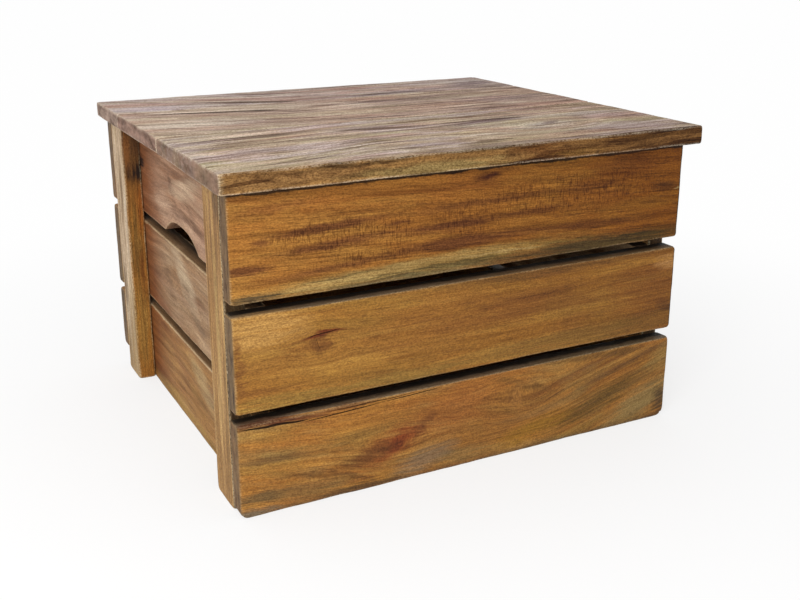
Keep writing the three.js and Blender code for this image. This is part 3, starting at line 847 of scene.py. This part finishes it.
end_woods = [
    board_wood("acacia end board, planed and waxed, bottom", 7.0, "#ad864a", "#976e39",
               "#764f27", tints=[("#8e5b29", 60, 0.45), ("#a2834d", 60, 0.4)],
               faces=[OIL_RUN, *end_top_with_painted_shade(BOTTOM_SLAT_TOP),
                      # Painted shade along the foot of the outer face, darkest by the
                      # floor.
                      (X, LEFT_FACE, 1.5, "#46382c", 0.75, (Z, 2.6, 0.8))],
               marks=on_end(
                   (20, 5, 190, 14, 0, "#ab8948", 0.75),
                   (-50, 66, 70, 22, 20, "#b2996b", 0.75),
                   (40, 58, 60, 20, 30, "#8d6137", 0.6),
                   (-128, 44, 34, 50, 0, "#83612f", 0.6)), **PLANED),
    board_wood("acacia end board, planed and waxed, middle", 8.0, "#ad906e", "#967552",
               "#7a5a3e", tints=[("#8f5f37", 60, 0.4), ("#a2896c", 60, 0.5)],
               faces=[OIL_RUN, *end_top_with_painted_shade(MIDDLE_SLAT_TOP)],
               marks=on_end(
                   (0, 170, 66, 24, 35, "#c2ae90", 0.8),
                   (64, 150, 44, 18, 40, "#755638", 0.65),
                   (-30, 140, 60, 12, 30, "#80664a", 0.6),
                   (-120, 128, 60, 26, 0, "#9c7a4a", 0.6),
                   (-100, 180, 60, 12, 0, "#a98d68", 0.5)),
               knots=[((LEFT_FACE, 60, 150), (30, 90, 50), 0.6)], **PLANED),
    board_wood("acacia end board, planed and waxed, top", 9.0, "#ba9c7e", "#a27e62",
               "#7e5c42", tints=[("#915e37", 60, 0.4), ("#a98b73", 60, 0.5)],
               faces=[OIL_RUN],
               # Painted shade inside the hand-hold's arch, darkest towards the inside.
               marks=[((-217.5, 3, 214), (10, 64, 20), (0, 0, 0), "#1a120b", 1.0)]
               + on_end(
                   (150, 268, 16, 14, 0, "#30201a", 1.0),
                   (30, 262, 26, 9, 50, "#76563f", 0.8),
                   (10, 240, 60, 7, 0, "#7d5d45", 0.75),
                   (-62, 236, 60, 8, 24, "#7a5a42", 0.75),
                   (-20, 270, 70, 15, -12, "#cdb497", 0.8),
                   (66, 236, 44, 26, 10, "#b99a80", 0.6),
                   (100, 292, 60, 9, 0, "#73492a", 0.7),
                   (-100, 268, 60, 16, 10, "#a9886a", 0.6),
                   (-146, 250, 30, 60, 0, "#6a4d35", 0.7)),
               knots=[((LEFT_FACE, 3, 214), (30, 120, 60), 0.7)], **PLANED)]

# Narrow acacia battens, rough-sawn: upright, stringy lines, yellowish and dry.
CLEAT = {"grain": Z, "across": Y, "band": (150, 10), "streak_size": (90, 3.2),
         "streaks": 0.5, "fibre_size": (30, 1.1), "fibres": 0.5, "cracks": 0.4,
         "figure": 0.25, "ring": 12.0, "sway": 3.0, "speckle": 0.15, "edge": "#d6c49e",
         "edge_wear": 0.6, "roughness": 0.68}
front_cleat_wood = board_wood("acacia cleat, rough-sawn, yellowish", 10.0, "#c2a26a",
                              "#a88452", "#7f5e37", tints=[("#966c38", 70, 0.4)],
                              # Painted shade: near black on the face behind the slats, seen
                              # in the gaps between them.
                              faces=[(Y, BEHIND_SLATS, 1.5, "#2a1d13", 0.85, None)],
                              marks=on_cleat(
                                  (-186, 298, 12, 26, "#5c472f", 0.8),
                                  (-176, 170, 8, 130, "#b99f66", 0.6),
                                  (-160, 60, 16, 80, "#96703c", 0.6),
                                  (-190, 90, 8, 90, "#86693f", 0.6)), **CLEAT)
back_cleat_wood = board_wood(
    "acacia cleat, rough-sawn, one side oiled", 11.0, "#ded1b9", "#c6b093", "#917653",
    tints=[("#b09868", 70, 0.5)],
    faces=[(Y, INNER_CLEAT_FACE, 1.6, "#956528", 1.0, None),
           (Y, INNER_CLEAT_FACE, 1.6, "#49301c", 0.85, (Z, 215, 285)),
           # Painted shade on that side beyond the end boards' outer faces, seen in the gaps
           # between them.
           (Y, INNER_CLEAT_FACE, 1.6, "#2b1c12", 0.6, (X, -232.2, -230.2)),
           (X, LEFT_CLEAT_FACE, 1.5, "#a88b58", 0.6, (Z, 130, 20))],
    marks=on_inner_cleat(
        (-236, 258, 17, 17, "#24160e", 1.0), (-234, 214, 9, 36, "#9a5a20", 0.75),
        (-243, 180, 9, 70, "#7a6130", 0.6), (-246, 282, 7, 30, "#8a5a2c", 0.7),
        (-236, 120, 5, 50, "#6e3f17", 0.7), (-242, 70, 14, 70, "#a07c3c", 0.75))
    + on_cleat(
        (192, 110, 14, 34, "#71593c", 0.75), (174, 236, 9, 50, "#8d7656", 0.7),
        (196, 30, 16, 40, "#8a7147", 0.7)),
    **CLEAT)

# Rough-sawn boards inside and below, never oiled: pale, dusty and fuzzy.
ROUGH = {"roughness": 0.75, "speckle": 0.18, "edge_wear": 0.3}
rough_floor = board_wood("acacia floor board, rough-sawn, bare", 12.0, "#b59b78",
                         "#98795a", "#775a3f", across=Y, tints=[("#86684a", 70, 0.5)],
                         end="#7f6a54", **ROUGH)
rough_bearer = board_wood("acacia bearer, rough-sawn, bare", 13.0, "#b59b78", "#98795a",
                          "#775a3f", grain=Y, **ROUGH)

# Acacia battens, planed and never oiled: even, pale tan, with lighter arrises.
lid_batten_wood = board_wood("acacia lid batten, planed, bare", 14.0, "#b9a184",
                             "#a18467", "#806449", grain=Y, tints=[("#8d7258", 60, 0.4)],
                             edge="#cdb88f", roughness=0.68)

# Back slats oiled like the front ones: golden browns with a quiet figure.
back_slat_woods = [
    board_wood("acacia back slat, oiled, bottom", 15.0, "#b48b45", "#98693a", "#734923",
               tints=[("#8a5a2e", 60, 0.5)], end="#634e34", sway=7.0),
    board_wood("acacia back slat, oiled, middle", 16.0, "#b58545", "#9a6c32", "#7c5026",
               tints=[("#8f7a3e", 60, 0.4)], end="#5f4b31", sway=5.0),
    board_wood("acacia back slat, oiled, top", 17.0, "#b07b3a", "#966432", "#744723",
               tints=[("#8c5428", 60, 0.5)], end="#614d35", sway=5.0, tilt=2.0)]

# Torn wood down in a crack: almost black brown as painted shade, with no gloss.
shaded_split_wood = split_shade("acacia, split, in shade", "#1d120b", "#4a3322")
# Cut with a chisel and never oiled: fresh, pale and smooth.
pocket_wood = board_wood("acacia, chiselled hinge seat", 3.3, "#b08a5c", "#94703f",
                         "#6d4d2c")
# Beech turned on a lathe: pale, even and close-grained.
turned_dowel = board_wood("beech dowel, turned", 18.0, "#dcc49a", "#cfb285", "#b99765",
                          grain=Y, figure=0.1, cracks=0.1)
# Rolled brass gone dull: yellow-brown patches over a fine straight grain.
aged_brass = worn_metal("brass sheet, rolled and tarnished", "#b3944f", "#6b5530", 0.34,
                        0.35)
# Zinc-plated steel, handled: grey, half bright, with darker spots.
zinc_steel = worn_metal("steel, zinc-plated and dulled", "#a7a69f", "#77746b", 0.36, 0.2)

# ---- Boards ---------------------------------------------------------------------------

END_SKIN = 1.0 * MM         # how far round its arrises a cut end shows
TUCKED_REACH = 5 * MM


def board(node, body, material, seed, grain=X, wear=0.5 * MM, corners=(),
          shape=None, cuts=(), close_cuts=None, easing=ARRIS_EASING, tucked=False):
    """One worn board in the place of a CAD board, worn in its own way by its seed. Cuts
    are cutters and what they bare. Ends tucked away behind the slats are never rubbed."""
    low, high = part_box(node)
    bm = worn(sawn_block(low, high, close_cuts or {}, easing), low, high, seed, wear)
    ends = bm.verts.layers.float.new("end_grain")
    rubbed = bm.verts.layers.float["wear"]
    for v in bm.verts:
        inside = min(v.co[grain] - low[grain], high[grain] - v.co[grain])
        v[ends] = max(0.0, 1 - inside / END_SKIN)
        if tucked and inside < TUCKED_REACH:
            v[rubbed] = 0.0
    for plane, sides, radius in corners:
        corner = [high[a] if s > 0 else low[a] for a, s in zip(plane, sides)]
        rounded_corner(bm, plane, corner, [-s for s in sides], radius)
    if shape:
        shape(bm, low, high)
    materials = [material]
    for cutter, bared in cuts:
        materials.append(bared)
        bm = carve(bm, cutter, materials)
    return mesh_piece(node + "_worn", bm, materials, body, [node])


def splintered_top(bm, low, high):
    """The lowest front slat has lost a splinter from its upper front arris."""
    split_away(bm, X, (low.y, high.z), (1, -1), (low.x + 3 * MM, low.x + 195 * MM),
               (5 * MM, 6 * MM))


def chipped_top_left(bm, low, high):
    """A small chip at the left end of the upper front arris."""
    split_away(bm, X, (low.y, high.z), (1, -1), (low.x - 4 * MM, low.x + 20 * MM),
               (4 * MM, 4 * MM))


OUTWARD = Vector((0, -1, 0))
SPLIT_DEPTH = 2 * MM


def front_splits(lines):
    """Cutters of splits in the front faces, each from one point to another, in mm."""
    bm = bmesh.new()
    for x0, z0, x1, z1, width in lines:
        add_wedge(bm, Vector(front(x0, z0)) * MM, Vector(front(x1, z1)) * MM, width * MM,
                  SPLIT_DEPTH, OUTWARD, x0)
    return bm


# Of each front slat: its wood, what it has lost, its rounded corners (plane, sides,
# radius) and the splits in its face (from x and z, to x and z, width, in mm).
front_levels = {
    "bottom": (oiled_bottom_slat, splintered_top,
               [((X, Z), (1, -1), 10 * MM), ((X, Z), (-1, -1), 8 * MM)],
               [(-248, 89.5, -176, 87.5, 3.0), (-190, 85.4, -96, 89.0, 1.4),
                (-104, 88.4, -34, 91.6, 1.1), (-166, 90.6, -60, 91.4, 0.9)]),
    "middle": (oiled_middle_slat, chipped_top_left, [((X, Z), (1, 1), 3 * MM)],
               [(-181, 168.3, -145, 171.6, 1.2), (-171, 166, -167, 155, 0.6)]),
    "top": (oiled_top_slat, None, [], [])}
for index, (level, (wood, shape, corners, splits)) in enumerate(front_levels.items()):
    board(f"front_slat_{level}", "crate", wood, 20 + index,
          corners=corners, shape=shape,
          cuts=[(front_splits(splits), shaded_split_wood)] if splits else ())

# The hinge leaves lie in seats cut in the top back slat and in the lid's back board. All
# in mm: where the pins' axis is, how much wider a seat is than its leaf, how deep it is,
# and how far its cutter stands out of the wood.
AXIS_Z = (face("hinge_left_pin", LOW, Z, 2) + face("hinge_left_pin", HIGH, Z, 2)) / 2
SEAT_GAP, SEAT_DEPTH, CUTTER_REACH = 0.3, 2.05, 3


def hinge_seats(below, above):
    """Cutters of both seats, reaching this many mm below and above the pins' axis."""
    bm = bmesh.new()
    for side in ("left", "right"):
        leaf = f"hinge_{side}_crate_leaf"
        low = Vector((face(leaf, LOW, X, 2) - SEAT_GAP, face(leaf, LOW, Y, 2) - SEAT_GAP,
                      AXIS_Z - below)) * MM
        high = Vector((face(leaf, HIGH, X, 2) + SEAT_GAP,
                       face(leaf, HIGH, Y, 2) + SEAT_GAP, AXIS_Z + above)) * MM
        seat = bmesh.ops.create_cube(bm, size=1)["verts"]
        bmesh.ops.scale(bm, vec=high - low, verts=seat)
        bmesh.ops.translate(bm, vec=(low + high) / 2, verts=seat)
    return bm


for index, level in enumerate(("bottom", "middle", "top")):
    seats = [(hinge_seats(SEAT_DEPTH, CUTTER_REACH), pocket_wood)] if level == "top" else ()
    board(f"back_slat_{level}", "crate", back_slat_woods[index], 30 + index,
          cuts=seats)

for index, end_side in enumerate(("left", "right")):
    board(f"corner_cleat_front_{end_side}", "crate", front_cleat_wood,
          40 + index, grain=Z)
    board(f"corner_cleat_back_{end_side}", "crate", back_cleat_wood,
          42 + index, grain=Z)

CRATE_MIDDLE_Y = round(sum(corner.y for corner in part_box("left_end_board_top")) / 2, 6)
GRIP_HALF, GRIP_RISE, GRIP_FULLNESS = 61 * MM, 17.5 * MM, 2.7
GRIP_STEPS = 16
grip_cuts = {CRATE_MIDDLE_Y + way * GRIP_HALF * (1 - (i / GRIP_STEPS) ** 2)
             for i in range(GRIP_STEPS + 1) for way in (-1, 1)}
FINE_EASING, FINE_WEAR = 0.5 * MM, 0.25 * MM        # of the end boards' arrises


def arched(bm, low, high):
    """Draws the board's lower edge up into the hand-hold's arch."""
    for v in bm.verts:
        off = abs(v.co.y - CRATE_MIDDLE_Y) / GRIP_HALF
        if off < 1:
            rise = GRIP_RISE * (1 - off ** GRIP_FULLNESS)
            v.co.z += rise * (high.z - v.co.z) / (high.z - low.z)


CROWN_MIDDLE, CROWN_HALF, CROWN_RISE = 80 * MM, 90 * MM, 1.6 * MM


def crowned(bm, low, high):
    """The sawn upper edge of the lowest board bulges a little towards the back."""
    for v in bm.verts:
        off = abs(v.co.y - CROWN_MIDDLE) / CROWN_HALF
        if off < 1:
            rise = CROWN_RISE * (0.5 + 0.5 * math.cos(math.pi * off))
            v.co.z += rise * (v.co.z - low.z) / (high.z - low.z)


end_shapes = {"right_bottom": crowned, "left_top": arched, "right_top": arched}
for index, end_side in enumerate(("left", "right")):
    for step, level in enumerate(("bottom", "middle", "top")):
        board(f"{end_side}_end_board_{level}", "crate", end_woods[step],
              50 + 3 * index + step, grain=Y, wear=FINE_WEAR, easing=FINE_EASING,
              tucked=True, shape=end_shapes.get(f"{end_side}_{level}"),
              close_cuts={Y: grip_cuts} if level == "top" else None)
    board(f"floor_bearer_{end_side}", "crate", rough_bearer, 60 + index,
          grain=Y)
for index in range(1, 5):
    board(f"floor_board_{index}", "crate", rough_floor, 62 + index)

# ---- Lid ------------------------------------------------------------------------------

UP = Vector((0, 0, 1))
LID_CRACK_DEPTH = 1.8 * MM
# Of the cracks drawn by chance, in mm.
CRACK_HALVES, CRACK_WIDTHS = (15, 40), (1.0, 1.6)
CRACK_PLACES = (60, 215)        # along the board, from its middle
CRACK_SLOPE = 0.1


def lid_cracks(seed, low_y, high_y, count, named):
    """Cutters of a lid board's drying cracks: some drawn by chance, and the named ones."""
    draw = random.Random(seed)
    lines = []
    for i in range(count):
        y = low_y + (high_y - low_y) * (i + draw.uniform(0.25, 0.75)) / count
        half = draw.uniform(*CRACK_HALVES)
        x = draw.choice((-1, 1)) * draw.uniform(*CRACK_PLACES)
        skew = draw.uniform(-CRACK_SLOPE, CRACK_SLOPE) * half
        lines.append((x - half, y - skew, x + half, y + skew, draw.uniform(*CRACK_WIDTHS)))
    bm = bmesh.new()
    for i, (x0, y0, x1, y1, width) in enumerate(lines + named):
        add_wedge(bm, Vector((x0, y0, LID_TOP_FACE)) * MM,
                  Vector((x1, y1, LID_TOP_FACE)) * MM, width * MM,
                  LID_CRACK_DEPTH, UP, seed + i)
    return bm


THINNED_REACH, THINNED_HEIGHT, THINNED_BY = 9 * MM, 8 * MM, 3.2 * MM
THINNED_FROM, THINNED_OVER = 20 * MM, 150 * MM      # from the lid's front edge


def planed_thin(bm, low, high):
    """The lid's underside is planed away a little towards its two ends."""
    for v in bm.verts:
        from_end = min(v.co.x - low.x, high.x - v.co.x)
        from_bottom = v.co.z - low.z
        if from_end < THINNED_REACH and from_bottom < THINNED_HEIGHT:
            share = (v.co.y - cad_low.y - THINNED_FROM) / THINNED_OVER
            lift = THINNED_BY * min(1.0, max(0.0, share)) * (1 - from_end / THINNED_REACH)
            v.co.z += lift * (1 - from_bottom / THINNED_HEIGHT)


# Of each lid board: its wood, the span across it and the count of the cracks drawn by
# chance, the cracks that have a place (from x and y, to x and y, width, in mm), and its
# rounded corners.
lid_rows = {
    "front": (weathered_front, (-225, -48), 4,
              [(-245, -84, -128, -75, 2.4), (22, -98, 98, -95, 2.6),
               (-60, -88, 20, -103, 2.0), (8, -71, 66, -74, 2.2)],
              [((X, Y), (-1, -1), 2 * MM), ((X, Y), (1, -1), 2 * MM)]),
    "middle": (weathered_middle, (-32, 112), 4,
               [(-256, 104, -100, 71.5, 3.2), (100, -31, 172, -27, 2.6),
                (-10, 82, 150, 72, 2.4), (-48, -26, 26, -29, 2.2)],
               []),
    "back": (weathered_back, (130, 216), 3,
             [(-130, 150, -62, 124, 2.6), (-20, 150, 70, 128, 2.0)],
             [((X, Y), (1, 1), 8 * MM), ((X, Y), (-1, 1), 3 * MM)])}
for index, (row, (wood, span, count, named, corners)) in enumerate(lid_rows.items()):
    cuts = [(lid_cracks(70 + index, *span, count, named), shaded_split_wood)]
    if row == "back":
        cuts.append((hinge_seats(CUTTER_REACH, SEAT_DEPTH), pocket_wood))
    board(f"lid_board_{row}", "lid", wood, 70 + index,
          corners=corners, shape=planed_thin, cuts=cuts)

HEAD_RADIUS, SHANK_RADIUS, HEAD_DEPTH = 3.2 * MM, 1.7 * MM, 1.5 * MM
SCREW_GAP = 0.3 * MM


def countersinks(side):
    """Cutters of the holes for one batten's screws, which point up."""
    bm = bmesh.new()
    for row in lid_rows:
        low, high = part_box(f"lid_batten_{side}_screw_{row}")
        hole = bmesh.ops.create_cone(
            bm, cap_ends=True, segments=32, depth=HEAD_DEPTH + SCREW_GAP,
            radius1=HEAD_RADIUS + 2 * SCREW_GAP, radius2=SHANK_RADIUS + SCREW_GAP)["verts"]
        middle = (low + high) / 2
        middle.z = low.z + (HEAD_DEPTH - SCREW_GAP) / 2
        bmesh.ops.translate(bm, vec=middle, verts=hole)
    return bm


for index, end_side in enumerate(("left", "right")):
    board(f"lid_batten_{end_side}", "lid", lid_batten_wood, 80 + index,
          grain=Y, cuts=[(countersinks(end_side), pocket_wood)])

# ---- Metal and dowels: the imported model's own forms ------------------------------------

SHEET_EASING, SCREW_EASING = 0.25 * MM, 0.12 * MM
ARRIS_ANGLE = math.radians(40)
TOUCHING = 0.001 * MM


def softened(node, body, material, width):
    """A merged copy of a CAD node whose arrises catch the light."""
    bm = bmesh.new()
    bm.from_mesh(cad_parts[node].data)
    bmesh.ops.remove_doubles(bm, verts=bm.verts[:], dist=TOUCHING)
    piece = mesh_piece(node + "_softened", bm, [material], body, [node])
    bevel = piece.modifiers.new("softened arris", "BEVEL")
    bevel.width, bevel.segments = width, 2
    bevel.limit_method, bevel.angle_limit = "ANGLE", ARRIS_ANGLE


for node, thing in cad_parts.items():
    if node.startswith("hinge_") and ("leaf" in node or "pin" in node):
        owner = "lid" if "_lid_" in node else "crate"
        softened(node, owner, aged_brass, SHEET_EASING)
    elif "screw" in node:
        owner = "crate" if "_crate_" in node else "lid"
        softened(node, owner, zinc_steel, SCREW_EASING)
    elif "dowel" in node:
        thing.data.materials.clear()
        thing.data.materials.append(turned_dowel)

# ---- Floor, light and camera ----------------------------------------------------------


def seen_directly(tree):
    """1 on rays that the camera, a reflection or glass sees, and 0 on light's own."""
    glossy = add(tree, "Math", {0: add(tree, "LightPath", out="Is Camera Ray"),
                                1: add(tree, "LightPath", out="Is Glossy Ray")},
                 operation="MAXIMUM")
    return add(tree, "Math", {0: glossy,
                              1: add(tree, "LightPath", out="Is Transmission Ray")},
               operation="MAXIMUM")


FLOOR_REACH = 20            # metres
floor_bm = bmesh.new()
bmesh.ops.create_grid(floor_bm, x_segments=1, y_segments=1, size=FLOOR_REACH)
floor_mesh = bpy.data.meshes.new("studio_floor")
floor_bm.to_mesh(floor_mesh)
floor_bm.free()
floor = bpy.data.objects.new("studio_floor", floor_mesh)
bpy.context.scene.collection.objects.link(floor)
# Matt white paint: plain white from afar, and near the crate its shadow shows.
pale_floor, tree = new_tree("matt white studio floor")
SHADOW_REACH, WHITE_REACH = 0.30, 1.0       # metres from the crate's middle
NEAR_GLOW, FAR_GLOW = 0.70, 0.98            # share of plain white in what is seen
distance = add(tree, "VectorMath", {0: add(tree, "TexCoord", out="Object")},
               operation="LENGTH", out="Value")
glow = add(tree, "MapRange", {"Value": distance, "From Min": SHADOW_REACH,
                              "From Max": WHITE_REACH, "To Min": NEAR_GLOW,
                              "To Max": FAR_GLOW}, interpolation_type="SMOOTHSTEP")
share = add(tree, "Math", {0: seen_directly(tree), 1: glow}, operation="MULTIPLY")
matt = add(tree, "BsdfDiffuse", {"Color": grey(0.94)})
plain = add(tree, "Emission", {"Color": WHITE, "Strength": 1.0})
add(tree, "OutputMaterial",
    {"Surface": add(tree, "MixShader", {0: share, 1: matt, 2: plain})})
floor_mesh.materials.append(pale_floor)

scene = bpy.context.scene
world = bpy.data.worlds.new("soft studio")
scene.world = world
world.use_nodes = True
sky = world.node_tree
sky.nodes.clear()
AMBIENT = 0.60
around = add(sky, "Background", {"Color": WHITE, "Strength": AMBIENT})
white = add(sky, "Background", {"Color": WHITE, "Strength": 1.0})
add(sky, "OutputWorld",
    {"Surface": add(sky, "MixShader", {0: seen_directly(sky), 1: around, 2: white})})


def softbox(name, place, target, width, power):
    """A square lamp that looks at its target, in metres and watts."""
    lamp = bpy.data.lights.new(name, "AREA")
    lamp.shape, lamp.size, lamp.energy = "SQUARE", width, power
    thing = bpy.data.objects.new(name, lamp)
    scene.collection.objects.link(thing)
    thing.location = place
    thing.rotation_euler = (Vector(target) - Vector(place)).to_track_quat(
        "-Z", "Y").to_euler()


softbox("key softbox", (-1.35, -1.5, 1.1), (-0.1, 0, 0.15), 1.2, 30)
softbox("top softbox", (-0.3, 0.4, 2.4), (0, 0, 0.3), 2.2, 11)

CAMERA_AZIMUTH = math.radians(-27.4)
CAMERA_ELEVATION = math.radians(17.23)
CAMERA_OFFSET = (26.2 * MM, 141.8 * MM, 1275.5 * MM)   # right, up and back
camera = bpy.data.cameras.new("camera")
camera.lens, camera.sensor_width = 47.6, 36     # mm
camera.shift_x, camera.shift_y = 0.0, -0.04
camera.clip_start, camera.clip_end = 0.01, 50
eye = bpy.data.objects.new("camera", camera)
scene.collection.objects.link(eye)
turn = (Matrix.Rotation(CAMERA_AZIMUTH, 3, "Z")
        @ Matrix.Rotation(math.pi / 2 - CAMERA_ELEVATION, 3, "X"))
eye.rotation_euler = turn.to_euler()
eye.location = turn @ Vector(CAMERA_OFFSET) + Vector((0, CRATE_MIDDLE_Y, 0))
scene.camera = eye
scene.view_settings.view_transform = "Standard"
